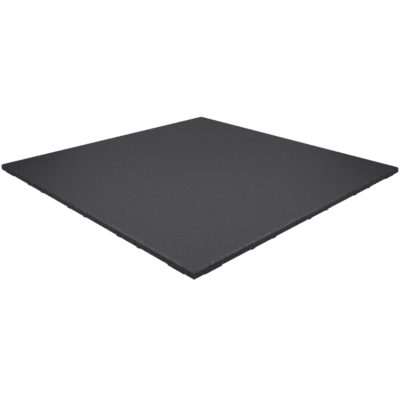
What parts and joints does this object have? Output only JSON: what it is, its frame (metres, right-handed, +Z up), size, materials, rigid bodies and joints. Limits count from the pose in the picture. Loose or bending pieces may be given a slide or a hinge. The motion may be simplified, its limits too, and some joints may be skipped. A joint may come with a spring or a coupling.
{
  "type": "rubber gym floor tile",
  "caption": "Square moulded rubber gym floor tile with a smooth top, a bevelled rim and low ring-shaped feet under it.",
  "frame": {"origin": "centre of the tile, on the plane of the feet's undersides, which is the floor it lies on", "axes": "+Z up through the tile's thickness; +X and +Y along its sides"},
  "size_m": [1, 1, 0.0225],
  "materials": {
    "rubber": "matt"
  },
  "bodies": {
    "root": {"tile": "rubber"}
  },
  "joints": []
}
